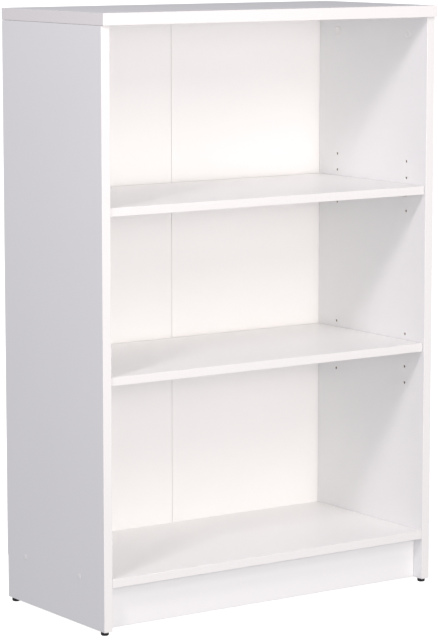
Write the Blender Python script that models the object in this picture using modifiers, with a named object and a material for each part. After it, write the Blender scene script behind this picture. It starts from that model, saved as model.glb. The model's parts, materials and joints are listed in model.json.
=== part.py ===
"""White melamine bookcase with two adjustable shelves.

Flat-pack carcass in metres, +Z up, front facing -Y, origin on the floor under the middle.
The top lies on the two side panels and is drawn down by cam locks.  The bottom panel is
screwed between the sides, above a set-back plinth board.  A folding hardboard back is
nailed on behind, under the rear edge of the top.  The two loose shelves rest on pins in
rows of system holes.
"""
import math

import bmesh
import bpy
from mathutils import Vector

# Overall sizes
OVERALL_WIDTH = 0.750            # across the outer faces of the side panels
OVERALL_HEIGHT = 1.120           # floor to top surface
SIDE_DEPTH = 0.340
TOP_OVERHANG = 0.007             # the top stands this far in front of the sides

# Boards
TOP_THICKNESS = 0.022
SIDE_THICKNESS = 0.018
BOTTOM_THICKNESS = 0.016
SHELF_THICKNESS = 0.016
PLINTH_THICKNESS = 0.016
PLINTH_HEIGHT = 0.080
PLINTH_SETBACK = 0.025
BOARD_EDGE_RADIUS = 0.0008

# Folding back
BACK_THICKNESS = 0.0027
BACK_EDGE_MARGIN = 0.001         # hardboard kept inside the outline of the carcass
BACK_TOP_GAP = 0.0015            # between the hardboard and the top that lies over it
BACK_SEAM = 0.0008               # gap at the fold
TAPE_WIDTH = 0.030
TAPE_THICKNESS = 0.0003

# Shelves and their pins
SHELF_FRONT_SETBACK = 0.004
SHELF_SIDE_CLEARANCE = 0.001
SHELF_BACK_CLEARANCE = 0.003
PIN_HOLE_RADIUS = 0.0025
PIN_HOLE_SPARE = 0.002           # hole deeper than the shaft in it
PIN_HOLE_PITCH = 0.032
PIN_HOLES_IN_GROUP = 4
PIN_COLUMN_INSET = 0.060         # from the front and rear edges of a side
UPPER_GROUP_HEIGHT = 0.8125      # highest hole of the group, above the side's lower end
LOWER_GROUP_HEIGHT = 0.4765
UPPER_SHELF_HOLE = 2             # hole in use, counted down from the highest one as 0
LOWER_SHELF_HOLE = 1
PIN_HEAD_RADIUS = 0.004
PIN_HEAD_LENGTH = 0.0065
PIN_SHAFT_LENGTH = 0.0100

# Cam lock, cam bolt and dowel between a side and the top
CAM_BORE_RADIUS = 0.0075
CAM_BORE_PAST_MIDDLE = 0.0045    # deeper than the middle of the board, where the bolt runs
CAM_BACKSET = 0.034              # cam centre below the upper end of the side
CAM_SOCKET_RADIUS = 0.0028
CAM_SOCKET_DEPTH = 0.0030
CAM_CAP_RADIUS = 0.0085
CAM_CAP_THICKNESS = 0.0010
BOLT_SHAFT_RADIUS = 0.0028
BOLT_NECK_RADIUS = 0.0018
BOLT_HEAD_HEIGHT = 0.0030
BOLT_NECK_HEIGHT = 0.0050
BOLT_THREAD_LENGTH = 0.0110
DOWEL_RADIUS = 0.004
DOWEL_LENGTH = 0.030
DOWEL_SHORT_END = 0.0115         # length held in the shallower of its two holes
DOWEL_HOLE_SPARE = 0.001         # hole deeper than the dowel end in it

# Screws that hold the bottom panel, and their caps
SCREW_LENGTH = 0.050
SCREW_SHANK_RADIUS = 0.0032
SCREW_HEAD_RADIUS = 0.0047
SCREW_HEAD_HEIGHT = 0.0035
SCREW_TIP_LENGTH = 0.0040
SCREW_SOCKET_RADIUS = 0.0020
SCREW_SOCKET_DEPTH = 0.0025
SCREW_FRONT_INSET = 0.084        # from the front edge of a side
SCREW_REAR_INSET = 0.064
SCREW_HOLE_SPARE = 0.003
SCREW_CAP_RADIUS = 0.006
SCREW_CAP_THICKNESS = 0.0008

# Plinth dowels, glide feet and back nails
PLINTH_DOWEL_MARGIN = 0.020      # from the lower and upper edges of the plinth board
FOOT_RADIUS = 0.0075
FOOT_HEIGHT = 0.007
FOOT_INSET = 0.013               # foot centre from the front and rear edges of a side
FOOT_SPIKE_RADIUS = 0.0010
FOOT_SPIKE_LENGTH = 0.0150
NAIL_RADIUS = 0.0008
NAIL_LENGTH = 0.020
NAIL_HEAD_RADIUS = 0.0020
NAIL_HEAD_THICKNESS = 0.0009
NAILS_UP_EACH_SIDE = 4
NAILS_ALONG_EACH_LEAF = 2        # into the bottom panel
NAIL_END_MARGIN = 0.070          # from the bottom panel and the top to the nails next to them
NAIL_HOLE_SPARE = 0.001

# Clearances
JOINT_GAP = 0.0003               # between faces that meet
BORE_CLEARANCE = 0.0003          # between a fitting and the wall of its hole
BORE_OVERRUN = 0.002             # cutters start this far outside a face

# Where the boards lie
TOP_DEPTH = TOP_OVERHANG + SIDE_DEPTH + JOINT_GAP + BACK_THICKNESS
OVERALL_DEPTH = TOP_DEPTH + JOINT_GAP + NAIL_HEAD_THICKNESS
TOP_FRONT_Y = -OVERALL_DEPTH / 2
SIDE_FRONT_Y = TOP_FRONT_Y + TOP_OVERHANG
SIDE_BACK_Y = SIDE_FRONT_Y + SIDE_DEPTH
BACK_FRONT_Y = SIDE_BACK_Y + JOINT_GAP
BACK_REAR_Y = BACK_FRONT_Y + BACK_THICKNESS
OUTER_X = OVERALL_WIDTH / 2
INNER_X = OUTER_X - SIDE_THICKNESS
SIDE_MIDDLE_X = OUTER_X - SIDE_THICKNESS / 2
SIDE_BOTTOM_Z = FOOT_HEIGHT + JOINT_GAP
TOP_UNDERSIDE_Z = OVERALL_HEIGHT - TOP_THICKNESS
SIDE_TOP_Z = TOP_UNDERSIDE_Z - JOINT_GAP
PLINTH_TOP_Z = SIDE_BOTTOM_Z + PLINTH_HEIGHT
BOTTOM_LOW_Z = PLINTH_TOP_Z + JOINT_GAP
BOTTOM_HIGH_Z = BOTTOM_LOW_Z + BOTTOM_THICKNESS
BOTTOM_MIDDLE_Z = BOTTOM_LOW_Z + BOTTOM_THICKNESS / 2
PLINTH_FRONT_Y = SIDE_FRONT_Y + PLINTH_SETBACK
PLINTH_MIDDLE_Y = PLINTH_FRONT_Y + PLINTH_THICKNESS / 2

# Lines that fittings share
PIN_COLUMNS_Y = {
    "front": SIDE_FRONT_Y + PIN_COLUMN_INSET,
    "rear": SIDE_BACK_Y - PIN_COLUMN_INSET,
}
SCREW_LINES_Y = {
    "front": SIDE_FRONT_Y + SCREW_FRONT_INSET,
    "rear": SIDE_BACK_Y - SCREW_REAR_INSET,
}
FOOT_LINES_Y = {
    "front": SIDE_FRONT_Y + FOOT_INSET,
    "rear": SIDE_BACK_Y - FOOT_INSET,
}
PLINTH_DOWELS_Z = {
    "lower": SIDE_BOTTOM_Z + PLINTH_DOWEL_MARGIN,
    "upper": PLINTH_TOP_Z - PLINTH_DOWEL_MARGIN,
}
SIDES = {"left": -1, "right": 1}
DOWEL_LINE_Y = (SIDE_FRONT_Y + SIDE_BACK_Y) / 2
PIN_HOLE_DEPTH = PIN_SHAFT_LENGTH + PIN_HOLE_SPARE
CAM_BORE_DEPTH = SIDE_THICKNESS / 2 + CAM_BORE_PAST_MIDDLE
CAM_Z = SIDE_TOP_Z - CAM_BACKSET
DOWEL_LONG_END = DOWEL_LENGTH - DOWEL_SHORT_END - JOINT_GAP
BOLT_BORE_RADIUS = BOLT_SHAFT_RADIUS + BORE_CLEARANCE
SCREW_BORE_RADIUS = SCREW_SHANK_RADIUS + BORE_CLEARANCE
DOWEL_BORE_RADIUS = DOWEL_RADIUS + BORE_CLEARANCE
SPIKE_BORE_RADIUS = FOOT_SPIKE_RADIUS + BORE_CLEARANCE
NAIL_BORE_RADIUS = NAIL_RADIUS + BORE_CLEARANCE
NAIL_BORE_DEPTH = NAIL_LENGTH - BACK_THICKNESS + NAIL_HOLE_SPARE

# Facets round a full turn
FINE = 24
MEDIUM = 16
COARSE = 10

UP = Vector((0, 0, 1))
DOWN = Vector((0, 0, -1))
REARWARD = Vector((0, 1, 0))
FORWARD = Vector((0, -1, 0))

# Colour, roughness and metallic value of each finish
FINISHES = {
    "white_melamine": ((0.86, 0.86, 0.85), 0.35, 0.0),
    "white_hardboard": ((0.84, 0.84, 0.83), 0.45, 0.0),
    "white_plastic": ((0.88, 0.88, 0.87), 0.30, 0.0),
    "white_tape": ((0.80, 0.80, 0.78), 0.50, 0.0),
    "black_plastic": ((0.015, 0.015, 0.015), 0.22, 0.0),
    "nickel_steel": ((0.62, 0.61, 0.58), 0.28, 1.0),
    "zinc": ((0.50, 0.50, 0.52), 0.42, 1.0),
    "beech": ((0.60, 0.42, 0.25), 0.60, 0.0),
}


def clear_scene():
    for scene_object in list(bpy.data.objects):
        bpy.data.objects.remove(scene_object, do_unlink=True)


def new_collection(name):
    collection = bpy.data.collections.new(name)
    bpy.context.scene.collection.children.link(collection)
    return collection


def give_finish(piece, finish):
    colour, roughness, metallic = FINISHES[finish]
    material = bpy.data.materials.new(piece.name + "_" + finish)
    material.use_nodes = True
    shader = material.node_tree.nodes["Principled BSDF"]
    shader.inputs["Base Color"].default_value = (*colour, 1.0)
    shader.inputs["Roughness"].default_value = roughness
    shader.inputs["Metallic"].default_value = metallic
    piece.material_slots[0].link = "OBJECT"
    piece.material_slots[0].material = material


def place_piece(name, mesh, location, finish, axis=UP):
    """Link an object with this mesh, its own +Z turned to point along the axis."""
    piece = bpy.data.objects.new(name, mesh)
    piece.location = location
    piece.rotation_euler = UP.rotation_difference(axis).to_euler()
    PARTS.objects.link(piece)
    if not mesh.materials:
        mesh.materials.append(None)
    give_finish(piece, finish)
    return piece


def board(name, low, high, finish="white_melamine", edge_radius=BOARD_EDGE_RADIUS):
    """A rectangular board between two corners, with its arrises eased."""
    low, high = Vector(low), Vector(high)
    shape = bmesh.new()
    bmesh.ops.create_cube(shape, size=1.0)
    bmesh.ops.scale(shape, vec=high - low, verts=shape.verts)
    mesh = bpy.data.meshes.new(name)
    shape.to_mesh(mesh)
    shape.free()
    piece = place_piece(name, mesh, (low + high) / 2, finish)
    if edge_radius:
        bevel = piece.modifiers.new("eased_edges", "BEVEL")
        bevel.width = edge_radius
        bevel.segments = 2
        bevel.limit_method = "ANGLE"
    return piece


def drill(piece, label, bores):
    """Cut round holes: each has its mouth, the way it runs, its radius, depth and facets."""
    shape = bmesh.new()
    for mouth, inward, radius, depth, facets in bores:
        start = Vector(mouth) - inward * BORE_OVERRUN
        end = Vector(mouth) + inward * depth
        turn = UP.rotation_difference(inward).to_matrix().to_4x4()
        turn.translation = (start + end) / 2
        bmesh.ops.create_cone(
            shape, cap_ends=True, segments=facets, radius1=radius, radius2=radius,
            depth=depth + BORE_OVERRUN, matrix=turn)
    mesh = bpy.data.meshes.new(piece.name + "_" + label)
    shape.to_mesh(mesh)
    shape.free()
    cutter = bpy.data.objects.new(mesh.name, mesh)
    cutter.display_type = "WIRE"
    cutter.hide_render = True
    CUTTERS.objects.link(cutter)
    cut = piece.modifiers.new(label, "BOOLEAN")
    cut.operation = "DIFFERENCE"
    cut.solver = "EXACT"
    cut.object = cutter


def turned_mesh(name, points, facets):
    """A solid of revolution about Z, from its (radius, height) outline, top to bottom."""
    outline = bmesh.new()
    corners = [outline.verts.new((radius, 0.0, height)) for radius, height in points]
    for upper, lower in zip(corners, corners[1:]):
        outline.edges.new((upper, lower))
    outline_mesh = bpy.data.meshes.new(name + "_outline")
    outline.to_mesh(outline_mesh)
    outline.free()

    turning = bpy.data.objects.new(outline_mesh.name, outline_mesh)
    PARTS.objects.link(turning)
    turn = turning.modifiers.new("turn", "SCREW")
    turn.axis = "Z"
    turn.angle = math.tau
    turn.steps = facets
    turn.render_steps = facets
    turn.use_merge_vertices = True
    turn.merge_threshold = 0.00001
    graph = bpy.context.evaluated_depsgraph_get()
    mesh = bpy.data.meshes.new_from_object(turning.evaluated_get(graph))
    bpy.data.objects.remove(turning, do_unlink=True)
    mesh.name = name
    mesh.materials.clear()
    mesh.shade_smooth()
    mesh.set_sharp_from_angle(angle=math.radians(40))
    return mesh


def group_hole_height(group_height, number):
    return SIDE_BOTTOM_Z + group_height - number * PIN_HOLE_PITCH


def nail_heights():
    """Heights of the nails up the rear edge of a side, from the bottom panel to the top."""
    lowest = BOTTOM_LOW_Z + NAIL_END_MARGIN
    highest = SIDE_TOP_Z - NAIL_END_MARGIN
    step = (highest - lowest) / (NAILS_UP_EACH_SIDE - 1)
    return [lowest + number * step for number in range(NAILS_UP_EACH_SIDE)]


def nail_places():
    """Name and (x, z) of every nail that holds the back."""
    places = []
    spacing = INNER_X / NAILS_ALONG_EACH_LEAF
    for side, sign in SIDES.items():
        for number, height in enumerate(nail_heights(), start=1):
            places.append((f"back_nail_{side}_{number}", sign * SIDE_MIDDLE_X, height))
        for number in range(NAILS_ALONG_EACH_LEAF):
            x = sign * spacing * (number + 0.5)
            places.append((f"back_nail_{side}_low_{number + 1}", x, BOTTOM_MIDDLE_Z))
    return places


def nail_bores(mouth_y, depth, wanted):
    """Nail holes that run forward, for the nails whose place is wanted."""
    return [
        ((x, mouth_y, z), FORWARD, NAIL_BORE_RADIUS, depth, COARSE)
        for _, x, z in nail_places() if wanted(x)]


def build_top():
    top = board(
        "top_panel",
        (-OUTER_X, TOP_FRONT_Y, TOP_UNDERSIDE_Z),
        (OUTER_X, BACK_REAR_Y, OVERALL_HEIGHT))
    bores = []
    for sign in SIDES.values():
        x = sign * SIDE_MIDDLE_X
        for y in PIN_COLUMNS_Y.values():
            depth = BOLT_THREAD_LENGTH + DOWEL_HOLE_SPARE
            bores.append(((x, y, TOP_UNDERSIDE_Z), UP, BOLT_BORE_RADIUS, depth, COARSE))
        depth = DOWEL_SHORT_END + DOWEL_HOLE_SPARE
        bores.append(((x, DOWEL_LINE_Y, TOP_UNDERSIDE_Z), UP, DOWEL_BORE_RADIUS, depth, MEDIUM))
    drill(top, "fitting_holes", bores)


def build_side(side, sign):
    outward = Vector((sign, 0, 0))
    inward = -outward
    faces = sorted((sign * OUTER_X, sign * INNER_X))
    panel = board(
        f"{side}_side_panel",
        (faces[0], SIDE_FRONT_Y, SIDE_BOTTOM_Z),
        (faces[1], SIDE_BACK_Y, SIDE_TOP_Z))
    inner, outer, middle = sign * INNER_X, sign * OUTER_X, sign * SIDE_MIDDLE_X

    pin_bores = []
    for y in PIN_COLUMNS_Y.values():
        for group in (UPPER_GROUP_HEIGHT, LOWER_GROUP_HEIGHT):
            for number in range(PIN_HOLES_IN_GROUP):
                mouth = (inner, y, group_hole_height(group, number))
                pin_bores.append((mouth, outward, PIN_HOLE_RADIUS, PIN_HOLE_DEPTH, MEDIUM))
    drill(panel, "pin_holes", pin_bores)

    cam_bores = [
        ((inner, y, CAM_Z), outward, CAM_BORE_RADIUS, CAM_BORE_DEPTH, FINE)
        for y in PIN_COLUMNS_Y.values()]
    drill(panel, "cam_bores", cam_bores)

    depth = CAM_BACKSET + BOLT_HEAD_HEIGHT
    end_bores = [
        ((middle, y, SIDE_TOP_Z), DOWN, BOLT_BORE_RADIUS, depth, COARSE)
        for y in PIN_COLUMNS_Y.values()]
    depth = DOWEL_LONG_END + DOWEL_HOLE_SPARE
    end_bores.append(((middle, DOWEL_LINE_Y, SIDE_TOP_Z), DOWN, DOWEL_BORE_RADIUS, depth, MEDIUM))
    for y in FOOT_LINES_Y.values():
        depth = FOOT_SPIKE_LENGTH + JOINT_GAP
        end_bores.append(((middle, y, SIDE_BOTTOM_Z), UP, SPIKE_BORE_RADIUS, depth, COARSE))
    drill(panel, "end_holes", end_bores)

    face_bores = []
    for y in SCREW_LINES_Y.values():
        depth = SIDE_THICKNESS + BORE_OVERRUN
        face_bores.append(((outer, y, BOTTOM_MIDDLE_Z), inward, SCREW_BORE_RADIUS, depth, MEDIUM))
    for z in PLINTH_DOWELS_Z.values():
        depth = DOWEL_SHORT_END + DOWEL_HOLE_SPARE
        face_bores.append(((inner, PLINTH_MIDDLE_Y, z), outward, DOWEL_BORE_RADIUS, depth, MEDIUM))
    face_bores += nail_bores(SIDE_BACK_Y, NAIL_BORE_DEPTH, lambda x: x * sign > INNER_X)
    drill(panel, "bottom_and_nail_holes", face_bores)

    head_seat_depth = SCREW_HEAD_HEIGHT + 2 * BORE_CLEARANCE
    head_seats = [
        ((outer, y, BOTTOM_MIDDLE_Z), inward, SCREW_HEAD_RADIUS + BORE_CLEARANCE,
         head_seat_depth, MEDIUM)
        for y in SCREW_LINES_Y.values()]
    drill(panel, "screw_head_seats", head_seats)


def build_bottom():
    end_x = INNER_X - JOINT_GAP
    bottom = board(
        "bottom_panel",
        (-end_x, SIDE_FRONT_Y, BOTTOM_LOW_Z),
        (end_x, SIDE_BACK_Y, BOTTOM_HIGH_Z))
    depth = SCREW_LENGTH - SIDE_THICKNESS + SCREW_HOLE_SPARE
    bores = []
    for sign in SIDES.values():
        for y in SCREW_LINES_Y.values():
            mouth = (sign * end_x, y, BOTTOM_MIDDLE_Z)
            bores.append((mouth, Vector((-sign, 0, 0)), SCREW_BORE_RADIUS, depth, MEDIUM))
    bores += nail_bores(SIDE_BACK_Y, NAIL_BORE_DEPTH, lambda x: abs(x) < INNER_X)
    drill(bottom, "fitting_holes", bores)


def build_plinth():
    end_x = INNER_X - JOINT_GAP
    plinth = board(
        "plinth_board",
        (-end_x, PLINTH_FRONT_Y, SIDE_BOTTOM_Z),
        (end_x, PLINTH_FRONT_Y + PLINTH_THICKNESS, PLINTH_TOP_Z))
    depth = DOWEL_LONG_END + DOWEL_HOLE_SPARE
    bores = []
    for sign in SIDES.values():
        for z in PLINTH_DOWELS_Z.values():
            mouth = (sign * end_x, PLINTH_MIDDLE_Y, z)
            bores.append((mouth, Vector((-sign, 0, 0)), DOWEL_BORE_RADIUS, depth, MEDIUM))
    drill(plinth, "dowel_holes", bores)


def build_back():
    """Two hardboard leaves that meet at the fold, and the tape that hinges them behind."""
    low_z = BOTTOM_LOW_Z + BACK_EDGE_MARGIN
    high_z = TOP_UNDERSIDE_Z - BACK_TOP_GAP
    for side, sign in SIDES.items():
        edges = sorted((sign * BACK_SEAM / 2, sign * (OUTER_X - BACK_EDGE_MARGIN)))
        leaf = board(
            f"back_leaf_{side}",
            (edges[0], BACK_FRONT_Y, low_z),
            (edges[1], BACK_REAR_Y, high_z),
            finish="white_hardboard", edge_radius=0)
        depth = BACK_THICKNESS + BORE_OVERRUN
        drill(leaf, "nail_holes", nail_bores(BACK_REAR_Y, depth, lambda x: x * sign > 0))
    tape_front_y = BACK_REAR_Y + JOINT_GAP
    board(
        "back_fold_tape",
        (-TAPE_WIDTH / 2, tape_front_y, low_z),
        (TAPE_WIDTH / 2, tape_front_y + TAPE_THICKNESS, high_z),
        finish="white_tape", edge_radius=0)


def build_shelf(name, group_height, hole):
    """A loose shelf, resting on the heads of four pins in one row of holes."""
    underside = group_hole_height(group_height, hole) + PIN_HEAD_RADIUS + JOINT_GAP
    end_x = INNER_X - SHELF_SIDE_CLEARANCE
    board(
        name,
        (-end_x, SIDE_FRONT_Y + SHELF_FRONT_SETBACK, underside),
        (end_x, BACK_FRONT_Y - SHELF_BACK_CLEARANCE, underside + SHELF_THICKNESS))


def build_shelf_pins():
    """Pins with a thick head that carries the shelf and a thin shaft in the hole."""
    shaft_radius = PIN_HOLE_RADIUS - BORE_CLEARANCE
    ease = 0.0006
    mesh = turned_mesh("shelf_pin", [
        (0.0, PIN_HEAD_LENGTH),
        (PIN_HEAD_RADIUS - ease, PIN_HEAD_LENGTH),
        (PIN_HEAD_RADIUS, PIN_HEAD_LENGTH - ease),
        (PIN_HEAD_RADIUS, JOINT_GAP),
        (shaft_radius, JOINT_GAP),
        (shaft_radius, ease - PIN_SHAFT_LENGTH),
        (shaft_radius - ease, -PIN_SHAFT_LENGTH),
        (0.0, -PIN_SHAFT_LENGTH)], MEDIUM)
    shelves = {
        "upper": group_hole_height(UPPER_GROUP_HEIGHT, UPPER_SHELF_HOLE),
        "lower": group_hole_height(LOWER_GROUP_HEIGHT, LOWER_SHELF_HOLE)}
    for shelf, height in shelves.items():
        for side, sign in SIDES.items():
            for column, y in PIN_COLUMNS_Y.items():
                place_piece(
                    f"{shelf}_pin_{side}_{column}", mesh, (sign * INNER_X, y, height),
                    "nickel_steel", Vector((-sign, 0, 0)))


def build_cam_joints():
    """Cam, bolt, cap and dowel that hold the top down on each side."""
    cam_radius = CAM_BORE_RADIUS - BORE_CLEARANCE
    cam_mesh = turned_mesh("cam_lock", [
        (0.0, -CAM_SOCKET_DEPTH),
        (CAM_SOCKET_RADIUS, -CAM_SOCKET_DEPTH),
        (CAM_SOCKET_RADIUS, -JOINT_GAP),
        (cam_radius, -JOINT_GAP),
        (cam_radius, JOINT_GAP - CAM_BORE_DEPTH),
        (0.0, JOINT_GAP - CAM_BORE_DEPTH)], FINE)
    peg_radius = CAM_SOCKET_RADIUS - BORE_CLEARANCE
    ease = CAM_CAP_THICKNESS / 2
    cap_mesh = turned_mesh("cam_cap", [
        (0.0, JOINT_GAP + CAM_CAP_THICKNESS),
        (CAM_CAP_RADIUS - ease, JOINT_GAP + CAM_CAP_THICKNESS),
        (CAM_CAP_RADIUS, JOINT_GAP + CAM_CAP_THICKNESS - ease),
        (CAM_CAP_RADIUS, JOINT_GAP),
        (peg_radius, JOINT_GAP),
        (peg_radius, JOINT_GAP - CAM_SOCKET_DEPTH),
        (0.0, JOINT_GAP - CAM_SOCKET_DEPTH)], FINE)
    head_top = BOLT_HEAD_HEIGHT / 2 - CAM_BACKSET - JOINT_GAP
    bolt_mesh = turned_mesh("cam_bolt", [
        (0.0, BOLT_THREAD_LENGTH),
        (BOLT_SHAFT_RADIUS / 2, BOLT_THREAD_LENGTH),
        (BOLT_SHAFT_RADIUS, BOLT_THREAD_LENGTH - BOLT_SHAFT_RADIUS / 2),
        (BOLT_SHAFT_RADIUS, head_top + BOLT_NECK_HEIGHT),
        (BOLT_NECK_RADIUS, head_top + BOLT_NECK_HEIGHT),
        (BOLT_NECK_RADIUS, head_top),
        (BOLT_SHAFT_RADIUS, head_top),
        (BOLT_SHAFT_RADIUS, head_top - BOLT_HEAD_HEIGHT),
        (0.0, head_top - BOLT_HEAD_HEIGHT)], MEDIUM)
    dowel_mesh = turn_dowel_mesh()
    for side, sign in SIDES.items():
        inward = Vector((-sign, 0, 0))
        x = sign * SIDE_MIDDLE_X
        for column, y in PIN_COLUMNS_Y.items():
            place = (sign * INNER_X, y, CAM_Z)
            cam = place_piece(f"cam_lock_{side}_{column}", cam_mesh, place, "zinc", inward)
            slot_depth = cam_radius + BOLT_HEAD_HEIGHT + BORE_CLEARANCE
            drill(cam, "bolt_slot", [
                ((x, y, CAM_Z + cam_radius), DOWN, BOLT_BORE_RADIUS, slot_depth, COARSE)])
            place_piece(f"cam_cap_{side}_{column}", cap_mesh, place, "white_plastic", inward)
            place_piece(
                f"cam_bolt_{side}_{column}", bolt_mesh, (x, y, TOP_UNDERSIDE_Z),
                "nickel_steel")
        place_piece(
            f"top_dowel_{side}", dowel_mesh, (x, DOWEL_LINE_Y, TOP_UNDERSIDE_Z), "beech")


def turn_dowel_mesh():
    """A dowel whose short end points along +Z from the joint face."""
    ease = 0.0008
    return turned_mesh("dowel", [
        (0.0, DOWEL_SHORT_END),
        (DOWEL_RADIUS - ease, DOWEL_SHORT_END),
        (DOWEL_RADIUS, DOWEL_SHORT_END - ease),
        (DOWEL_RADIUS, DOWEL_SHORT_END - DOWEL_LENGTH + ease),
        (DOWEL_RADIUS - ease, DOWEL_SHORT_END - DOWEL_LENGTH),
        (0.0, DOWEL_SHORT_END - DOWEL_LENGTH)], MEDIUM)


def build_plinth_dowels():
    mesh = turn_dowel_mesh()
    for side, sign in SIDES.items():
        for level, z in PLINTH_DOWELS_Z.items():
            place_piece(
                f"plinth_dowel_{side}_{level}", mesh, (sign * INNER_X, PLINTH_MIDDLE_Y, z),
                "beech", Vector((sign, 0, 0)))


def build_bottom_screws():
    """Screws through the sides into the bottom panel, each with a push-in cap."""
    screw_mesh = turned_mesh("carcass_screw", [
        (0.0, -SCREW_SOCKET_DEPTH),
        (SCREW_SOCKET_RADIUS, -SCREW_SOCKET_DEPTH),
        (SCREW_SOCKET_RADIUS, -JOINT_GAP),
        (SCREW_HEAD_RADIUS, -JOINT_GAP),
        (SCREW_HEAD_RADIUS, -SCREW_HEAD_HEIGHT),
        (SCREW_SHANK_RADIUS, -SCREW_HEAD_HEIGHT),
        (SCREW_SHANK_RADIUS, SCREW_TIP_LENGTH - SCREW_LENGTH),
        (SCREW_SHANK_RADIUS / 2, -SCREW_LENGTH),
        (0.0, -SCREW_LENGTH)], MEDIUM)
    peg_radius = SCREW_SOCKET_RADIUS - BORE_CLEARANCE
    ease = SCREW_CAP_THICKNESS / 2
    cap_mesh = turned_mesh("screw_cap", [
        (0.0, JOINT_GAP + SCREW_CAP_THICKNESS),
        (SCREW_CAP_RADIUS - ease, JOINT_GAP + SCREW_CAP_THICKNESS),
        (SCREW_CAP_RADIUS, JOINT_GAP + SCREW_CAP_THICKNESS - ease),
        (SCREW_CAP_RADIUS, JOINT_GAP),
        (peg_radius, JOINT_GAP),
        (peg_radius, JOINT_GAP - SCREW_SOCKET_DEPTH),
        (0.0, JOINT_GAP - SCREW_SOCKET_DEPTH)], FINE)
    for side, sign in SIDES.items():
        outward = Vector((sign, 0, 0))
        for line, y in SCREW_LINES_Y.items():
            place = (sign * OUTER_X, y, BOTTOM_MIDDLE_Z)
            place_piece(f"screw_{side}_{line}", screw_mesh, place, "zinc", outward)
            place_piece(f"screw_cap_{side}_{line}", cap_mesh, place, "white_plastic", outward)


def build_feet():
    """Nail-on glides under the front and rear corners of the sides."""
    ease = 0.0010
    mesh = turned_mesh("glide_foot", [
        (0.0, FOOT_HEIGHT + FOOT_SPIKE_LENGTH),
        (FOOT_SPIKE_RADIUS, FOOT_HEIGHT + FOOT_SPIKE_LENGTH - ease),
        (FOOT_SPIKE_RADIUS, FOOT_HEIGHT),
        (FOOT_RADIUS - ease, FOOT_HEIGHT),
        (FOOT_RADIUS, FOOT_HEIGHT - ease),
        (FOOT_RADIUS, FOOT_HEIGHT / 3),
        (FOOT_RADIUS - ease, 0.0),
        (0.0, 0.0)], FINE)
    for side, sign in SIDES.items():
        for line, y in FOOT_LINES_Y.items():
            place_piece(
                f"glide_foot_{side}_{line}", mesh, (sign * SIDE_MIDDLE_X, y, 0.0),
                "black_plastic")


def build_nails():
    seat = BACK_REAR_Y + JOINT_GAP
    mesh = turned_mesh("back_nail", [
        (0.0, NAIL_HEAD_THICKNESS),
        (NAIL_HEAD_RADIUS, NAIL_HEAD_THICKNESS),
        (NAIL_HEAD_RADIUS, 0.0),
        (NAIL_RADIUS, 0.0),
        (NAIL_RADIUS, 2 * NAIL_RADIUS - NAIL_LENGTH),
        (0.0, -NAIL_LENGTH)], COARSE)
    for name, x, z in nail_places():
        place_piece(name, mesh, (x, seat, z), "zinc", REARWARD)


clear_scene()
PARTS = new_collection("bookcase")
CUTTERS = new_collection("cutters")

build_top()
for side_name, side_sign in SIDES.items():
    build_side(side_name, side_sign)
build_bottom()
build_plinth()
build_back()
build_shelf("upper_shelf", UPPER_GROUP_HEIGHT, UPPER_SHELF_HOLE)
build_shelf("lower_shelf", LOWER_GROUP_HEIGHT, LOWER_SHELF_HOLE)
build_shelf_pins()
build_cam_joints()
build_bottom_screws()
build_plinth_dowels()
build_feet()
build_nails()
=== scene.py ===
import json
import math

import bmesh
import bpy
from bpy.props import FloatProperty, FloatVectorProperty, IntProperty, PointerProperty
from bpy.types import Operator, Panel, PropertyGroup
from mathutils import Euler, Matrix, Vector


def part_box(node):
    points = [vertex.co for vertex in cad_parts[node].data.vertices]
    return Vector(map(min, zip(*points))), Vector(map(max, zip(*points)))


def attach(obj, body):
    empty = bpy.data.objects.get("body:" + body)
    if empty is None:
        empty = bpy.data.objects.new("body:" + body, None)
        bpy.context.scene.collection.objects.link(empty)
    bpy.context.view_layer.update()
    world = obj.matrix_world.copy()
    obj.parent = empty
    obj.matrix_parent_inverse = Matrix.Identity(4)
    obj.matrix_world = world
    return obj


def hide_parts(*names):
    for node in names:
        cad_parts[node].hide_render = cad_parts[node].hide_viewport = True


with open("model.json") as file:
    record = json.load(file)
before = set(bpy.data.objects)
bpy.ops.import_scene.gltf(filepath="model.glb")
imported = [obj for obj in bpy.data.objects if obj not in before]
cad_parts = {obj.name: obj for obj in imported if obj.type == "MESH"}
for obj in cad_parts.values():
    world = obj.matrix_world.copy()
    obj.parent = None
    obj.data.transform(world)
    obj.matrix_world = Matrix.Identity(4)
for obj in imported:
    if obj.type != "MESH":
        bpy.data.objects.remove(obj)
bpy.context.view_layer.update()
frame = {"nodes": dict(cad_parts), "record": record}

bl_info = {
    "name": "White bookcase finish",
    "version": (1, 0, 0),
    "blender": (4, 5, 0),
    "location": "3D View > Sidebar > Bookcase",
    "description": "Fine fittings, board finishes and a studio for the adjustable bookcase",
    "category": "Object",
}

NODES = frame["nodes"]
BODY_OF = {
    node: body
    for body, members in frame["record"]["behaviour"]["bodies"].items() for node in members}
SIDES = {"left": -1, "right": 1}
TOWARDS_REAR = Vector((0, 1, 0))
UP = Vector((0, 0, 1))
WHITE = (1.0, 1.0, 1.0, 1.0)

# Cosines between which a face starts to count as turned one way and wholly does
FACING_BAND = (0.5, 0.9)
FACING_SQUARELY = (0.93, 0.98)

# Depths under a board's outer faces between which its melamine ends and its core shows
CORE_STARTS = (0.0009, 0.0012)

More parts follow.
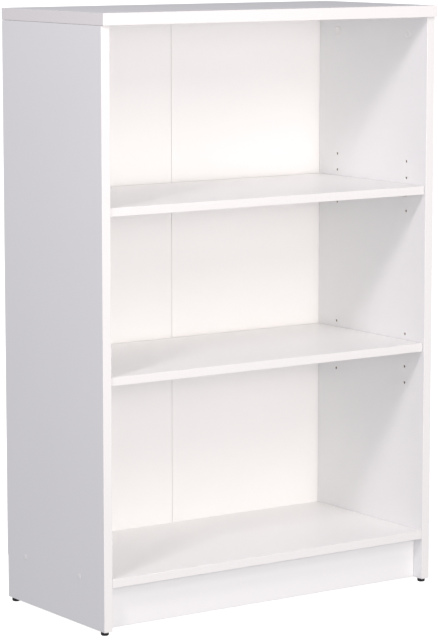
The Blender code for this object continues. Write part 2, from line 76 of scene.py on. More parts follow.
# Widths in metres of the patterns in the finishes
BOARD_CLOUD_SIZE = 0.16
SPECKLE_SIZE = 0.0011
BANDING_STROKE_SIZE = 0.02
PEEL_SIZE = 0.0028
LACQUER_CLOUD_SIZE = 0.22
LACQUER_GRAIN_SIZE = 0.0018
FIBRE_SIZE = 0.004
TAPE_WARP_PITCH = 0.0009
TAPE_WEFT_PITCH = 0.0007
TAPE_WEAR_SIZE = 0.012
FLOW_SIZE = 0.009
PLASTIC_GRAIN_SIZE = 0.0005
WOOD_GRAIN_SIZE = 0.0015
FLECK_SIZE = 0.0013
FLOOR_PATCH_SIZE = 0.9

# Depths in metres of the relief in the finishes
PEEL_RELIEF = 0.00002
CORE_RELIEF = 0.00035
LACQUER_RELIEF = 0.00003
SCREEN_RELIEF = 0.00020
WEAVE_RELIEF = 0.0001
TURNING_RELIEF = 0.00002
PLASTIC_RELIEF = 0.00001
WOOD_RELIEF = 0.0001

# Turned pieces: which edges are rounded or stay sharp, and how small their features are
MERGE_DISTANCE = 0.000001
RIM_ANGLE = math.radians(35)
SHARP_ANGLE = math.radians(40)
ROUNDING_SEGMENTS = 3
FINE_ROUNDING = 0.0003
GLIDE_ROUNDING = 0.0004
CHAMFER = 0.0006
PIN_GROOVE_MOUTH = 0.0012
PIN_GROOVE_FLOOR = 0.0004
PIN_TIP_LENGTH = 0.0008
CAP_RIM_DROP = 0.0007
CAP_CENTRE_RADIUS = 0.0012
CAP_CENTRE_RISE = 0.0002
SCREW_CAP_RIM = 0.0004
# Share of the radius, and the drop below the crown there
SCREW_CAP_DOME = ((0.0, 0.0), (0.30, 0.00004), (0.60, 0.00019), (0.84, 0.00046))
PANEL_GAP = 0.0003                  # between a cap's rim and the face of its panel
SPIKE_TIP_LENGTH = 0.001
TREAD_HOLLOW = 0.0006
NAIL_CROWN_DROP = 0.00015
NAIL_POINT_LENGTH = 0.0016

# Faces of each board left as raw chipboard, and its banded faces besides the front
RAW_FACES = {
    "top_panel": ("+Y",),
    "left_side_panel": ("+Y", "+Z", "-Z"),
    "right_side_panel": ("+Y", "+Z", "-Z"),
    "bottom_panel": ("-X", "+X", "+Y"),
    "plinth_board": ("-X", "+X", "+Z"),
    "upper_shelf": ("+Y",),
    "lower_shelf": ("+Y",),
}
# Boards whose melamine is set lighter than the face, which paints light on them
SHELF_BOARDS = ("upper_shelf", "lower_shelf", "bottom_panel")
BANDED_FACES = {
    "top_panel": ("-X", "+X", "-Y"),
    "left_side_panel": ("-Y",),
    "right_side_panel": ("-Y",),
    "bottom_panel": ("-Y",),
    "plinth_board": ("-Z",),
    "upper_shelf": ("-X", "+X", "-Y"),
    "lower_shelf": ("-X", "+X", "-Y"),
}


# Settings

def colour(name, description, default):
    return FloatVectorProperty(
        name=name, description=description, default=default, size=3, min=0.0, max=1.0,
        subtype="COLOR")


def length(name, description, default):
    return FloatProperty(
        name=name, description=description, default=default, min=0.0, unit="LENGTH",
        precision=5)


def share(name, description, default):
    return FloatProperty(
        name=name, description=description, default=default, min=0.0, max=1.0,
        subtype="FACTOR")


class BookcaseBoards(PropertyGroup):
    """Melamine boards, their edge banding and their chipboard core."""
    face: colour("Face", "Melamine face of the sides, top and plinth", (0.906, 0.912, 0.922))
    # Shelf face is the same melamine as the face, set lighter: painted light on the shelves and
    # the bottom
    painted_light_shelf_face: colour("Shelf face", "Melamine face of the shelves and bottom",
                       (0.953, 0.953, 0.950))
    # Banding is the same white as the faces, set darker: painted shade on the front edges. The
    # top panel's banding is set less dark, which paints more light on its edges.
    band_painted_shading: colour("Banding", "Edge banding", (0.866, 0.86, 0.86))
    painted_light_top_band: colour("Top banding", "Edge banding of the top panel", (0.886, 0.870, 0.870))
    seam: colour("Glue line", "Hairline beside the edge banding", (0.52, 0.50, 0.47))
    chip_light: colour("Light chips", "Pale chips of the core", (0.62, 0.47, 0.30))
    chip_dark: colour("Dark chips", "Dark chips of the core", (0.24, 0.155, 0.085))
    band_thickness: length("Banding thickness", "Thickness of the edge banding", 0.0010)
    seam_width: length("Glue line width", "Width of the hairline", 0.00018)
    chip_size: length("Chip size", "Size of one chip of the core", 0.0022)
    face_roughness: share("Face roughness", "Roughness of the melamine", 0.36)
    band_roughness: share("Banding roughness", "Roughness of the banding", 0.28)


class BookcaseBack(PropertyGroup):
    """Folding hardboard back and its tape."""
    front: colour("Front", "Lacquered front of the hardboard", (0.945, 0.942, 0.938))
    rear: colour("Rear", "Bare rear of the hardboard", (0.30, 0.185, 0.105))
    fibre: colour("Fibre", "Dark fibres on the bare rear", (0.15, 0.088, 0.048))
    tape: colour("Tape", "Cloth tape over the fold", (0.74, 0.73, 0.69))
    mesh_pitch: length("Screen pitch", "Pitch of the screen print on the rear", 0.0016)


class BookcaseFittings(PropertyGroup):
    """Shelf pins, cam fittings, screws, caps, glide feet, nails and dowels."""
    nickel: colour("Nickel", "Shelf pins and cam bolts", (0.66, 0.645, 0.61))
    zinc: colour("Zinc", "Cam locks, screws and nails", (0.50, 0.505, 0.52))
    cap: colour("Caps", "White plastic caps", (0.955, 0.955, 0.955))
    glide: colour("Glides", "Black plastic glide feet", (0.012, 0.012, 0.013))
    beech: colour("Beech", "Light wood of the dowels", (0.62, 0.42, 0.24))
    beech_grain: colour("Beech grain", "Dark grain of the dowels", (0.40, 0.24, 0.125))
    facets: IntProperty(
        name="Facets", description="Facets round a turned fitting", default=56, min=16, max=96)
    pin_shaft: length("Pin shaft", "Radius of the shaft of a shelf pin", 0.0022)
    pin_head: length("Pin head", "Length of the head of a shelf pin", 0.0065)
    pin_groove: length("Pin groove", "Depth of the groove round a pin head", 0.0005)
    cap_rim: length("Cap rim", "Width of the raised rim of a cam cap", 0.0026)
    cap_dish: length("Cap dish", "Depth of the dish inside the rim", 0.0006)
    peg_radius: length("Cap peg", "Radius of the peg behind a cam cap", 0.0025)
    screw_peg_radius: length("Screw cap peg", "Radius of the peg of a screw cap", 0.0017)
    nail_shank: length("Nail shank", "Radius of a back nail", 0.0008)
    nail_head: length("Nail head", "Thickness of a nail head", 0.0009)
    spike_radius: length("Glide spike", "Radius of the spike of a glide foot", 0.0010)
    glide_disc: length("Glide disc", "Height of the disc of a glide foot", 0.0070)


class BookcaseStudio(PropertyGroup):
    """Camera, floor and lights."""
    camera_place: FloatVectorProperty(
        name="Camera", description="Where the camera stands", size=3, subtype="TRANSLATION",
        unit="LENGTH", default=(-3.00867, -4.32854, 1.28987))
    camera_heading: FloatProperty(
        name="Heading", description="Camera heading, from +Y towards +X", subtype="ANGLE",
        default=math.radians(34.74))
    camera_tilt: FloatProperty(
        name="Tilt", description="How far the camera looks down", subtype="ANGLE",
        default=math.radians(8.23))
    lens: FloatProperty(
        name="Lens", description="Focal length on a 36 mm tall sensor", default=157.62,
        min=10.0, unit="CAMERA")
    floor: colour("Floor", "Studio floor", (0.80, 0.80, 0.80))
    floor_glow: share("Floor glow", "Light that the floor itself gives", 0.90)
    floor_size: length("Floor size", "Width of the studio floor", 90.0)
    surround: colour("Surround", "Even light from all round", (0.440, 0.438, 0.460))


# Material helpers

class Wiring:
    """A new material's node tree, with short calls to add nodes and join them."""

    def __init__(self, name):
        self.material = bpy.data.materials.new(name)
        self.material.use_nodes = True
        self.tree = self.material.node_tree
        self.shader = self.tree.nodes["Principled BSDF"]
        coordinates = self.add("ShaderNodeTexCoord")
        self.place = coordinates.outputs["Object"]
        self.facing = coordinates.outputs["Normal"]

    def add(self, kind, **settings):
        node = self.tree.nodes.new(kind)
        for key, value in settings.items():
            setattr(node, key, value)
        return node

    def feed(self, socket, value):
        if isinstance(value, bpy.types.NodeSocket):
            self.tree.links.new(value, socket)
        else:
            socket.default_value = value

    def math(self, operation, *values, clamp=False):
        node = self.add("ShaderNodeMath", operation=operation, use_clamp=clamp)
        for socket, value in zip(node.inputs, values):
            self.feed(socket, value)
        return node.outputs[0]

    def vector(self, operation, *values):
        node = self.add("ShaderNodeVectorMath", operation=operation)
        for socket, value in zip(node.inputs, values):
            self.feed(socket, value)
        return node.outputs["Value" if operation == "DOT_PRODUCT" else "Vector"]

    def split(self, vector):
        node = self.add("ShaderNodeSeparateXYZ")
        self.feed(node.inputs[0], vector)
        return node.outputs[0], node.outputs[1], node.outputs[2]

    def step(self, value, low, high):
        """0 below low, 1 above high, smooth between them."""
        node = self.add("ShaderNodeMapRange", interpolation_type="SMOOTHSTEP")
        self.feed(node.inputs["Value"], value)
        node.inputs["From Min"].default_value = low
        node.inputs["From Max"].default_value = high
        return node.outputs["Result"]

    def spread(self, value, low, high):
        """A 0 to 1 value mapped to low to high."""
        node = self.add("ShaderNodeMapRange")
        self.feed(node.inputs["Value"], value)
        node.inputs["To Min"].default_value = low
        node.inputs["To Max"].default_value = high
        return node.outputs["Result"]

    def stretched(self, factors):
        """The place, scaled along each axis, so that a pattern runs along the small ones."""
        node = self.add("ShaderNodeMapping")
        self.feed(node.inputs["Vector"], self.place)
        node.inputs["Scale"].default_value = factors
        return node.outputs["Vector"]

    def noise(self, size, detail=2.0, place=None, roughness=0.5):
        """Noise with features about size metres across."""
        node = self.add("ShaderNodeTexNoise")
        self.feed(node.inputs["Vector"], place or self.place)
        node.inputs["Scale"].default_value = 1.0 / size
        node.inputs["Detail"].default_value = detail
        node.inputs["Roughness"].default_value = roughness
        return node.outputs["Fac"]

    def cells(self, size, output="Color", place=None):
        """Cells about size metres across."""
        node = self.add("ShaderNodeTexVoronoi", feature="F1")
        self.feed(node.inputs["Vector"], place or self.place)
        node.inputs["Scale"].default_value = 1.0 / size
        return node.outputs[output]

    def mix(self, factor, first, second, blend_type="MIX"):
        node = self.add("ShaderNodeMix", data_type="RGBA", blend_type=blend_type)
        self.feed(node.inputs["Factor"], factor)
        for socket, value in ((node.inputs["A"], first), (node.inputs["B"], second)):
            self.feed(socket, value if isinstance(value, bpy.types.NodeSocket) else rgba(value))
        return node.outputs["Result"]

    def tint(self, base, factor, amount):
        """The base colour made lighter or darker by a 0 to 1 factor, by up to the amount."""
        grey = self.spread(factor, 1.0 - amount, 1.0 + amount)
        shade = self.add("ShaderNodeCombineColor")
        for socket in shade.inputs[:3]:
            self.feed(socket, grey)
        return self.mix(1.0, base, shade.outputs[0], "MULTIPLY")

    def bump(self, height, depth, below=None):
        """Relief depth metres deep, over any relief below it."""
        node = self.add("ShaderNodeBump")
        node.inputs["Strength"].default_value = 1.0
        node.inputs["Distance"].default_value = depth
        self.feed(node.inputs["Height"], height)
        if below is not None:
            self.feed(node.inputs["Normal"], below)
        return node.outputs["Normal"]

    def finish(self, base, roughness, normal=None, metallic=0.0, **extras):
        """Feeds the shader and returns the finished material."""
        inputs = self.shader.inputs
        self.feed(inputs["Base Color"], base)
        self.feed(inputs["Roughness"], roughness)
        inputs["Metallic"].default_value = metallic
        if normal is not None:
            self.feed(inputs["Normal"], normal)
        for key, value in extras.items():
            inputs[key.replace("_", " ")].default_value = value
        return self.material


def rgba(value):
    return (*value, 1.0) if len(value) == 3 else tuple(value)


def face_mask(wiring, faces, cosines=FACING_BAND):
    """1 on the parts of the surface that face one of the named ways, such as +Y."""
    parts = dict(zip("XYZ", wiring.split(wiring.facing)))
    mask = 0.0
    for face in faces:
        towards = parts[face[1]]
        if face[0] == "-":
            towards = wiring.math("MULTIPLY", towards, -1.0)
        mask = wiring.math("MAXIMUM", mask, wiring.step(towards, *cosines))
    return mask


def chipboard(wiring, boards):
    """Colour and height of the raw core: pressed chips with a few dark flakes."""
    chips = wiring.cells(boards.chip_size)
    shade = wiring.vector("DOT_PRODUCT", chips, (0.5, 0.3, 0.2))
    fine = wiring.noise(boards.chip_size * 0.35, detail=3.0)
    factor = wiring.math("MULTIPLY_ADD", fine, 0.45, wiring.math("MULTIPLY", shade, 0.6))
    base = wiring.mix(factor, boards.chip_dark, boards.chip_light)
    height = wiring.math("ADD", shade, fine)
    return base, height


def melamine_material(name, boards):
    """Melamine faces, banded edges with their glue line, and raw core where it is open."""
    low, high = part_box(name)
    centre, half = (low + high) / 2, (high - low) / 2
    wiring = Wiring(name + "_melamine")
    inset = wiring.vector("SUBTRACT", wiring.place, centre)
    inset = wiring.vector("SUBTRACT", half, wiring.vector("ABSOLUTE", inset))
    inset_x, inset_y, inset_z = wiring.split(inset)
    nearest = wiring.math("MINIMUM", inset_x, wiring.math("MINIMUM", inset_y, inset_z))
    inside = wiring.step(nearest, *CORE_STARTS)

    clouds = wiring.noise(BOARD_CLOUD_SIZE)
    speckle = wiring.noise(SPECKLE_SIZE, roughness=0.7)
    # The shelves and the bottom take a lighter copy of the face tone, which paints light on
    # them
    face_tone_painted_light_on_shelves = boards.painted_light_shelf_face if name in SHELF_BOARDS else boards.face
    face = wiring.tint(rgba(face_tone_painted_light_on_shelves), clouds, 0.012)
    face = wiring.tint(face, speckle, 0.010)

    banded = face_mask(wiring, BANDED_FACES[name])
    strokes = wiring.noise(
        BANDING_STROKE_SIZE, detail=3.0, place=wiring.stretched((1.0, 1.0, 0.08)))
    # The banding takes a darker copy of the white, which paints shade on the front edges; the
    # top panel's copy is lighter, painted light on its edges
    band_tone_painted_shading = boards.painted_light_top_band if name == "top_panel" else boards.band_painted_shading
    band_painted_shading = wiring.tint(rgba(band_tone_painted_shading), strokes, 0.005)
    surface = wiring.mix(banded, face, band_painted_shading)

    seam = 0.0
    insets = {"X": inset_x, "Y": inset_y, "Z": inset_z}
    flat = wiring.math("SUBTRACT", 1.0, banded, clamp=True)
    for banded_face in BANDED_FACES[name]:
        off = wiring.math("SUBTRACT", insets[banded_face[1]], boards.band_thickness)
        line = wiring.step(wiring.math("ABSOLUTE", off), boards.seam_width, 0.0)
        side = wiring.math("MULTIPLY", centre_side(wiring, banded_face, centre), line)
        seam = wiring.math("MAXIMUM", seam, side)
    seam = wiring.math("MULTIPLY", seam, flat)
    surface = wiring.mix(wiring.math("MULTIPLY", seam, 0.45), surface, boards.seam)

    core, core_height = chipboard(wiring, boards)
    raw = wiring.math("MAXIMUM", face_mask(wiring, RAW_FACES[name], FACING_SQUARELY), inside)
    base = wiring.mix(raw, surface, core)

    smooth = wiring.spread(speckle, boards.face_roughness - 0.05, boards.face_roughness + 0.05)
    smooth = wiring.math("MULTIPLY_ADD", banded, boards.band_roughness - boards.face_roughness,
                         smooth)
    roughness = wiring.math("MULTIPLY_ADD", raw, 0.5, smooth, clamp=True)
    peel = wiring.noise(PEEL_SIZE, detail=1.0)
    skin_height = wiring.math("ADD", peel, wiring.math("MULTIPLY", speckle, 0.4))
    normal = wiring.bump(skin_height, PEEL_RELIEF)
    normal = wiring.bump(wiring.math("MULTIPLY", core_height, raw), CORE_RELIEF, below=normal)
    return wiring.finish(base, roughness, normal, Specular_IOR_Level=0.45)


def centre_side(wiring, face, centre):
    """1 on the half of the board that lies towards the named face."""
    axis = "XYZ".index(face[1])
    value = wiring.split(wiring.place)[axis]
    low, high = centre[axis] - 0.001, centre[axis] + 0.001
    return wiring.step(value, high, low) if face[0] == "-" else wiring.step(value, low, high)


def hardboard_material(back):
    """Smooth lacquered front, and a bare rear with the print of the pressing screen."""
    wiring = Wiring("lacquered_hardboard")
    rear = face_mask(wiring, ("+Y",))
    clouds = wiring.noise(LACQUER_CLOUD_SIZE)
    grain = wiring.noise(LACQUER_GRAIN_SIZE, detail=3.0, roughness=0.65)
    front = wiring.tint(rgba(back.front), clouds, 0.012)
    front = wiring.tint(front, grain, 0.008)
    fibres = wiring.noise(
        FIBRE_SIZE, detail=4.0, place=wiring.stretched((1.0, 1.0, 0.35)), roughness=0.7)
    bare = wiring.mix(fibres, back.fibre, back.rear)
    x, _, z = wiring.split(wiring.place)
    turn = math.tau / back.mesh_pitch
    waves = wiring.math(
        "MULTIPLY",
        wiring.math("SINE", wiring.math("MULTIPLY", x, turn)),
        wiring.math("SINE", wiring.math("MULTIPLY", z, turn)))
    print_height = wiring.spread(waves, 0.5, 1.0)
    bare = wiring.tint(bare, print_height, 0.10)
    base = wiring.mix(rear, front, bare)
    roughness = wiring.math("MULTIPLY_ADD", rear, 0.40, wiring.spread(grain, 0.40, 0.50))
    normal = wiring.bump(grain, LACQUER_RELIEF)
    pressed = wiring.math("MULTIPLY", wiring.math("ADD", print_height, fibres), rear)
    normal = wiring.bump(pressed, SCREEN_RELIEF, below=normal)
    return wiring.finish(base, roughness, normal, Specular_IOR_Level=0.40)


def tape_material(back):
    """Woven cloth tape."""
    wiring = Wiring("cloth_tape")
    x, _, z = wiring.split(wiring.place)
    threads = wiring.math(
        "MAXIMUM",
        wiring.math("SINE", wiring.math("MULTIPLY", x, math.tau / TAPE_WARP_PITCH)),
        wiring.math("SINE", wiring.math("MULTIPLY", z, math.tau / TAPE_WEFT_PITCH)))
    weave = wiring.spread(threads, 0.5, 1.0)
    worn = wiring.noise(TAPE_WEAR_SIZE, detail=4.0)
    base = wiring.tint(wiring.tint(rgba(back.tape), weave, 0.06), worn, 0.05)
    return wiring.finish(
        base, wiring.spread(worn, 0.62, 0.78), wiring.bump(weave, WEAVE_RELIEF))


def plated_material(name, base_colour, roughness, streaks=0.0015):
    """Plated or cast metal with fine turning marks and a little mottling."""
    wiring = Wiring(name)
    marks = wiring.noise(streaks * 0.3, detail=3.0)
    mottle = wiring.noise(streaks * 4.0, detail=3.0)
    base = wiring.tint(wiring.tint(rgba(base_colour), mottle, 0.08), marks, 0.04)
    normal = wiring.bump(marks, TURNING_RELIEF)
    return wiring.finish(
        base, wiring.spread(mottle, roughness - 0.06, roughness + 0.08), normal, metallic=1.0)


def plastic_material(name, base_colour, roughness):
    """Moulded plastic with a faint flow pattern and fine grain."""
    wiring = Wiring(name)
    flow = wiring.noise(FLOW_SIZE)
    grain = wiring.noise(PLASTIC_GRAIN_SIZE)
    base = wiring.tint(wiring.tint(rgba(base_colour), flow, 0.02), grain, 0.015)
    normal = wiring.bump(wiring.math("ADD", grain, flow), PLASTIC_RELIEF)
    return wiring.finish(
        base, wiring.spread(grain, roughness - 0.04, roughness + 0.06), normal,
        Specular_IOR_Level=0.55)


def beech_material(fittings):
    """Straight-grained dowel wood with short dark flecks."""
    wiring = Wiring("beech_dowel")
    along = wiring.noise(
        WOOD_GRAIN_SIZE, detail=4.0, place=wiring.stretched((0.3, 1.0, 0.3)))
    flecks = wiring.cells(FLECK_SIZE, "Distance", wiring.stretched((0.35, 1.0, 0.35)))
    base = wiring.mix(along, fittings.beech_grain, fittings.beech)
    base = wiring.tint(base, wiring.step(flecks, 0.1, 0.5), 0.12)
    return wiring.finish(
        base, wiring.spread(along, 0.5, 0.65), wiring.bump(along, WOOD_RELIEF))


def dress(nodes, material):
    """Gives CAD nodes a material in their own slots."""
    for name in nodes:
        node = NODES[name]
        if not node.material_slots:
            node.data.materials.append(material)
        for material_slot in node.material_slots:
            material_slot.link = "OBJECT"
            material_slot.material = material


def named(start):
    """CAD nodes whose names start this way, in order."""
    return sorted(name for name in NODES if name.startswith(start))


# Turned pieces

def turned_piece(name, outline, place, axis, facets, rounding):
    """Spins an outline of (radius, height) corners, top to bottom, into a closed piece.

    Its rims are rounded, and it stands at the place with its own +Z along the axis.
    """
    shape = bmesh.new()
    corners = [shape.verts.new((radius, 0.0, height)) for radius, height in outline]
    edges = [shape.edges.new(pair) for pair in zip(corners, corners[1:])]
    bmesh.ops.spin(
        shape, geom=corners + edges, cent=(0, 0, 0), axis=(0, 0, 1), dvec=(0, 0, 0),
        angle=math.tau, steps=facets, use_merge=True)
    bmesh.ops.remove_doubles(shape, verts=shape.verts, dist=MERGE_DISTANCE)
    bmesh.ops.recalc_face_normals(shape, faces=shape.faces)
    rims = [
        edge for edge in shape.edges
        if len(edge.link_faces) == 2 and edge.calc_face_angle() > RIM_ANGLE]
    if rims and rounding:
        bmesh.ops.bevel(
            shape, geom=rims, offset=rounding, offset_type="OFFSET",
            segments=ROUNDING_SEGMENTS, profile=0.5, affect="EDGES", material=-1,
            clamp_overlap=True)
        bmesh.ops.remove_doubles(shape, verts=shape.verts, dist=MERGE_DISTANCE)
    turn = UP.rotation_difference(axis).to_matrix().to_4x4()
    bmesh.ops.transform(shape, matrix=Matrix.Translation(place) @ turn, verts=shape.verts)
    bmesh.ops.recalc_face_normals(shape, faces=shape.faces)
    mesh = bpy.data.meshes.new(name)
    shape.to_mesh(mesh)
    shape.free()
    mesh.shade_smooth()
    mesh.set_sharp_from_angle(angle=SHARP_ANGLE)
    piece = bpy.data.objects.new(name, mesh)
    bpy.context.scene.collection.objects.link(piece)
    return piece


def mount_piece(piece, node, material):
    """The piece stands for the CAD node, on its body, in this finish."""
    piece.data.materials.append(material)
    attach(piece, BODY_OF[node])
    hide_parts(node)


# Operators

class BOOKCASE_OT_finish_boards(Operator):
    """Give every board its melamine, banding and core"""
    bl_idname = "bookcase.finish_boards"
    bl_label = "Finish boards"

    def execute(self, context):
        for name in RAW_FACES:
            dress([name], melamine_material(name, context.scene.bookcase_boards))
        return {"FINISHED"}


class BOOKCASE_OT_finish_back(Operator):
    """Give the back leaves their lacquer and bare rear, and the fold its tape"""
    bl_idname = "bookcase.finish_back"
    bl_label = "Finish back"

    def execute(self, context):
        back = context.scene.bookcase_back
        dress(named("back_leaf_"), hardboard_material(back))
        dress(["back_fold_tape"], tape_material(back))
        return {"FINISHED"}


class BOOKCASE_OT_finish_inner_fittings(Operator):
    """Give the fittings inside the boards their metal and wood"""
    bl_idname = "bookcase.finish_inner_fittings"
    bl_label = "Finish inner fittings"

    def execute(self, context):
        fittings = context.scene.bookcase_fittings
        dress(named("cam_bolt_"), plated_material("bolt_nickel", fittings.nickel, 0.26))
        dress(named("cam_lock_"), plated_material("cast_zinc", fittings.zinc, 0.46, 0.003))
        screws = named("screw_left_") + named("screw_right_")
        dress(screws, plated_material("screw_zinc", fittings.zinc, 0.36))
        dress(named("top_dowel_") + named("plinth_dowel_"), beech_material(fittings))
        return {"FINISHED"}


class BOOKCASE_OT_make_shelf_pins(Operator):
    """Turn the eight shelf pins, with a grooved head and a chamfered shaft"""
    bl_idname = "bookcase.make_shelf_pins"
    bl_label = "Make shelf pins"

    def execute(self, context):
        fittings = context.scene.bookcase_fittings
        material = plated_material("pin_nickel", fittings.nickel, 0.22)
        for name in named("upper_pin_") + named("lower_pin_"):
            low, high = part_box(name)
            sign = SIDES[name.split("_")[2]]
            middle = (low + high) / 2
            radius = (high.z - low.z) / 2
            tip_x = high.x if sign > 0 else low.x
            reach = high.x - low.x
            collar = reach - fittings.pin_head
            groove = reach - fittings.pin_head / 2
            groove_radius = radius - fittings.pin_groove
            shaft = fittings.pin_shaft
            outline = [
                (0.0, reach), (radius, reach),
                (radius, groove + PIN_GROOVE_MOUTH / 2),
                (groove_radius, groove + PIN_GROOVE_FLOOR / 2),
                (groove_radius, groove - PIN_GROOVE_FLOOR / 2),
                (radius, groove - PIN_GROOVE_MOUTH / 2),
                (radius, collar), (shaft, collar),
                (shaft, PIN_TIP_LENGTH), (shaft - CHAMFER, 0.0), (0.0, 0.0)]
            piece = turned_piece(
                name + "_turned", outline, Vector((tip_x, middle.y, middle.z)),
                Vector((-sign, 0, 0)), fittings.facets, FINE_ROUNDING)
            mount_piece(piece, name, material)
        return {"FINISHED"}


class BOOKCASE_OT_make_caps(Operator):
    """Turn the rimmed caps over the cams and the domed caps over the screws"""
    bl_idname = "bookcase.make_caps"
    bl_label = "Make caps"

    def execute(self, context):
        fittings = context.scene.bookcase_fittings
        material = plastic_material("cap_plastic", fittings.cap, 0.26)
        for name in named("cam_cap_"):
            self.make_cam_cap(name, fittings, material)
        for name in named("screw_cap_"):
            self.make_screw_cap(name, fittings, material)
        return {"FINISHED"}

    def cap_frame(self, name, sign):
        """Where the cap meets its side panel, its radius, and its reach out and in.

        The sign says which way along X the cap looks.
        """
        low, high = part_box(name)
        middle = (low + high) / 2
        panel_low, panel_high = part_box(f"{name.split('_')[2]}_side_panel")
        face_x = panel_high.x if sign > 0 else panel_low.x
        tip_x = high.x if sign > 0 else low.x
        root_x = low.x if sign > 0 else high.x
        place = Vector((face_x, middle.y, middle.z))
        return place, (high.z - low.z) / 2, abs(tip_x - face_x), abs(root_x - face_x)

    def make_cam_cap(self, name, fittings, material):
        inwards = -SIDES[name.split("_")[2]]
        place, radius, proud, depth = self.cap_frame(name, inwards)
        rim, peg = fittings.cap_rim, fittings.peg_radius
        floor = proud - fittings.cap_dish
        outline = [
            (0.0, floor + CAP_CENTRE_RISE), (CAP_CENTRE_RADIUS, floor),
            (radius - rim - CHAMFER, floor), (radius - rim, proud),
            (radius - CHAMFER, proud), (radius, proud - CAP_RIM_DROP),
            (radius, PANEL_GAP), (peg, PANEL_GAP), (peg, -depth), (0.0, -depth)]
        piece = turned_piece(
            name + "_moulded", outline, place, Vector((inwards, 0, 0)), fittings.facets,
            FINE_ROUNDING)
        mount_piece(piece, name, material)

    def make_screw_cap(self, name, fittings, material):
        outwards = SIDES[name.split("_")[2]]
        place, radius, proud, depth = self.cap_frame(name, outwards)
        peg = fittings.screw_peg_radius
        dome = [(radius * share_out, proud - drop) for share_out, drop in SCREW_CAP_DOME]
        outline = dome + [
            (radius, SCREW_CAP_RIM), (radius, PANEL_GAP), (peg, PANEL_GAP), (peg, -depth),
            (0.0, -depth)]
        piece = turned_piece(
            name + "_moulded", outline, place, Vector((outwards, 0, 0)), fittings.facets, 0.0)
        mount_piece(piece, name, material)


class BOOKCASE_OT_make_glides(Operator):
    """Turn the black glide feet, with a rounded tread and their spikes"""
    bl_idname = "bookcase.make_glides"
    bl_label = "Make glides"

    def execute(self, context):
        fittings = context.scene.bookcase_fittings
        material = plastic_material("glide_plastic", fittings.glide, 0.16)
        for name in named("glide_foot_"):
            low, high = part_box(name)
            middle = (low + high) / 2
            radius = (high.x - low.x) / 2
            tall = high.z - low.z
            disc = fittings.glide_disc
            spike = fittings.spike_radius
            outline = [
                (0.0, tall), (spike, tall - SPIKE_TIP_LENGTH), (spike, disc),
                (radius * 0.94, disc), (radius, disc * 0.80), (radius, disc * 0.30),
                (radius * 0.92, disc * 0.06), (radius * 0.78, 0.0), (radius * 0.30, 0.0),
                (radius * 0.24, TREAD_HOLLOW), (0.0, TREAD_HOLLOW)]
            piece = turned_piece(
                name + "_moulded", outline, Vector((middle.x, middle.y, low.z)), UP,
                fittings.facets, GLIDE_ROUNDING)
            mount_piece(piece, name, material)
        return {"FINISHED"}


class BOOKCASE_OT_make_nails(Operator):
    """Turn the panel nails that hold the back"""
    bl_idname = "bookcase.make_nails"
    bl_label = "Make nails"

    def execute(self, context):
        fittings = context.scene.bookcase_fittings
        material = plated_material("nail_zinc", fittings.zinc, 0.34)
        for name in named("back_nail_"):
            low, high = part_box(name)
            middle = (low + high) / 2
            radius = (high.x - low.x) / 2
            reach = high.y - low.y
            shank = fittings.nail_shank
            head = fittings.nail_head
            outline = [
                (0.0, reach - NAIL_CROWN_DROP), (radius * 0.5, reach),
                (radius, reach - head * 0.45), (radius, reach - head), (shank, reach - head),
                (shank, NAIL_POINT_LENGTH), (0.0, 0.0)]
            piece = turned_piece(
                name + "_turned", outline, Vector((middle.x, low.y, middle.z)), TOWARDS_REAR,
                fittings.facets // 2, 0.0)
            mount_piece(piece, name, material)
        return {"FINISHED"}


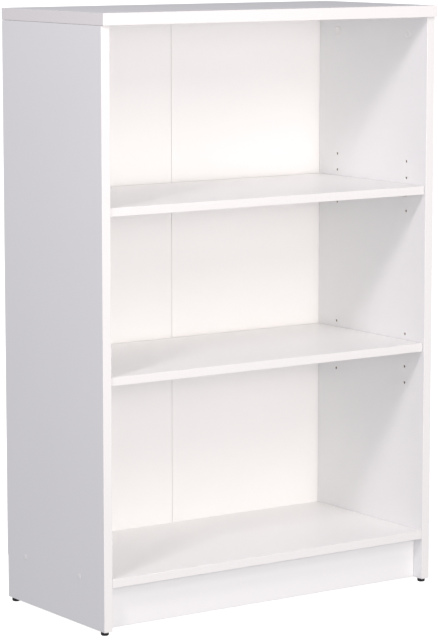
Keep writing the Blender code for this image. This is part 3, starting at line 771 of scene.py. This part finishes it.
class BOOKCASE_OT_build_studio(Operator):
    """Lay the floor, hang the lights and stand the camera"""
    bl_idname = "bookcase.build_studio"
    bl_label = "Build studio"

    def execute(self, context):
        studio = context.scene.bookcase_studio
        self.lay_floor(context, studio)
        self.light_surround(context, studio)
        for lamp in LAMPS:
            self.hang_lamp(context, *lamp)
        self.stand_camera(context, studio)
        context.scene.view_settings.view_transform = "Standard"
        return {"FINISHED"}

    def lay_floor(self, context, studio):
        """A white floor that only the camera sees, so it neither lights nor shades a piece."""
        shape = bmesh.new()
        bmesh.ops.create_grid(shape, x_segments=1, y_segments=1, size=studio.floor_size / 2)
        mesh = bpy.data.meshes.new("studio_floor")
        shape.to_mesh(mesh)
        shape.free()
        floor = bpy.data.objects.new("studio_floor", mesh)
        context.scene.collection.objects.link(floor)
        wiring = Wiring("studio_floor")
        patches = wiring.noise(FLOOR_PATCH_SIZE)
        base = wiring.tint(rgba(studio.floor), patches, 0.01)
        material = wiring.finish(
            base, 0.8, Emission_Color=WHITE,
            Emission_Strength=studio.floor_glow, Specular_IOR_Level=0.0)
        mesh.materials.append(material)
        for rays in ("visible_diffuse", "visible_glossy", "visible_shadow"):
            setattr(floor, rays, False)

    def light_surround(self, context, studio):
        """Even light from all round, which the camera sees as plain white."""
        world = bpy.data.worlds.new("studio_surround")
        world.use_nodes = True
        tree = world.node_tree
        glow = tree.nodes["Background"]
        glow.inputs["Color"].default_value = rgba(studio.surround)
        plain = tree.nodes.new("ShaderNodeBackground")
        plain.inputs["Color"].default_value = WHITE
        ray = tree.nodes.new("ShaderNodeLightPath")
        mix = tree.nodes.new("ShaderNodeMixShader")
        tree.links.new(ray.outputs["Is Camera Ray"], mix.inputs[0])
        tree.links.new(glow.outputs[0], mix.inputs[1])
        tree.links.new(plain.outputs[0], mix.inputs[2])
        tree.links.new(mix.outputs[0], tree.nodes["World Output"].inputs[0])
        context.scene.world = world

    def hang_lamp(self, context, name, place, size, power, tone):
        lamp = bpy.data.lights.new(name, "AREA")
        lamp.shape = "RECTANGLE"
        lamp.size, lamp.size_y = size
        lamp.energy = power
        lamp.color = tone
        holder = bpy.data.objects.new(name, lamp)
        holder.location = place
        holder.rotation_euler = (LAMP_AIM - place).to_track_quat("-Z", "Y").to_euler()
        holder.visible_camera = False
        context.scene.collection.objects.link(holder)

    def stand_camera(self, context, studio):
        camera = bpy.data.cameras.new("studio_camera")
        camera.sensor_width = SENSOR_SIZE
        camera.sensor_fit = "AUTO"
        camera.lens = studio.lens
        camera.clip_end = VIEW_DEPTH
        holder = bpy.data.objects.new("studio_camera", camera)
        holder.location = studio.camera_place
        holder.rotation_euler = Euler(
            (math.pi / 2 - studio.camera_tilt, 0.0, -studio.camera_heading))
        context.scene.collection.objects.link(holder)
        context.scene.camera = holder


SENSOR_SIZE = 36.0                  # millimetres, along the picture's longer side
VIEW_DEPTH = 200.0

# Where every studio lamp aims, and each one's name, place, size, power in watts and tone
LAMP_AIM = Vector((0.0, 0.0, 0.6))
BANK_TONE = (1.0, 0.932, 0.888)
LAMPS = [
    ("key_softbox", Vector((-2.4, -1.3, 2.3)), (0.5, 0.5), 27.5, (1.0, 0.936, 0.97)),
    ("low_front_bank", Vector((0.0, -3.5, 0.9)), (1.2, 1.0), 30.0, BANK_TONE),
    ("left_front_bank", Vector((-1.0, -3.5, 1.2)), (1.2, 1.0), 26.5, BANK_TONE),
    ("high_front_bank", Vector((0.0, -3.0, 2.6)), (1.5, 1.0), 20.5, BANK_TONE),
]


class BOOKCASE_PT_sidebar(Panel):
    """Lists the bookcase's pieces and settings"""
    bl_idname = "BOOKCASE_PT_sidebar"
    bl_label = "Bookcase"
    bl_space_type = "VIEW_3D"
    bl_region_type = "UI"
    bl_category = "Bookcase"

    def draw(self, context):
        for step in STEPS:
            self.layout.operator(step.bl_idname)
        for attribute, settings in SETTINGS.items():
            box = self.layout.box()
            box.label(text=settings.__doc__)
            group = getattr(context.scene, attribute)
            for key in settings.__annotations__:
                box.prop(group, key)


SETTINGS = {
    "bookcase_boards": BookcaseBoards,
    "bookcase_back": BookcaseBack,
    "bookcase_fittings": BookcaseFittings,
    "bookcase_studio": BookcaseStudio,
}
STEPS = (
    BOOKCASE_OT_finish_boards,
    BOOKCASE_OT_finish_back,
    BOOKCASE_OT_finish_inner_fittings,
    BOOKCASE_OT_make_shelf_pins,
    BOOKCASE_OT_make_caps,
    BOOKCASE_OT_make_glides,
    BOOKCASE_OT_make_nails,
    BOOKCASE_OT_build_studio,
)
CLASSES = (*SETTINGS.values(), *STEPS, BOOKCASE_PT_sidebar)


def register():
    for cls in CLASSES:
        bpy.utils.register_class(cls)
    for attribute, settings in SETTINGS.items():
        setattr(bpy.types.Scene, attribute, PointerProperty(type=settings))


def unregister():
    for attribute in SETTINGS:
        delattr(bpy.types.Scene, attribute)
    for cls in reversed(CLASSES):
        bpy.utils.unregister_class(cls)


def main():
    register()
    for step in STEPS:
        group, action = step.bl_idname.split(".")
        getattr(getattr(bpy.ops, group), action)()


if __name__ == "__main__":
    main()
